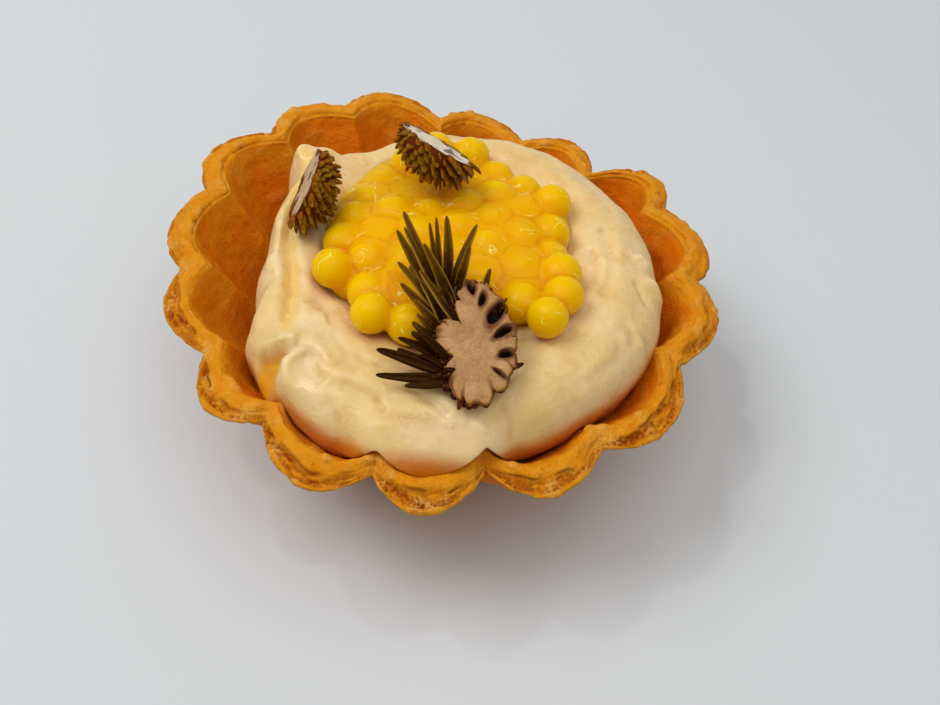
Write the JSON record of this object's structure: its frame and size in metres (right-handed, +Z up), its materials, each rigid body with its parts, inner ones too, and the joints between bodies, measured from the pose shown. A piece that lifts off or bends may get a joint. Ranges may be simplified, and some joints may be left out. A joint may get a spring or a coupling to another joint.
{
  "type": "tartlet",
  "caption": "Small fluted pastry tartlet filled with smooth cream and topped with a heap of yellow pearls and cut conifer shoots.",
  "frame": {"origin": "centre of the pastry's flat underside", "axes": "+Z up from the underside to the toppings; -Y towards the front, where the cut slice with the fan of needles lies"},
  "size_m": [0.0545, 0.0547, 0.0287],
  "materials": {
    "pastry": "golden baked pastry, flaky at the lip",
    "cream": "smooth ivory cream with a soft sheen",
    "pearls": "glossy, translucent yellow pearls",
    "shoot": "olive brown needles round a pale cut face"
  },
  "bodies": {
    "root": {"pastry": "pastry", "cream": "cream", "pearls": "pearls", "shoot_front": "shoot", "shoot_back": "shoot", "shoot_left": "shoot"}
  },
  "joints": []
}
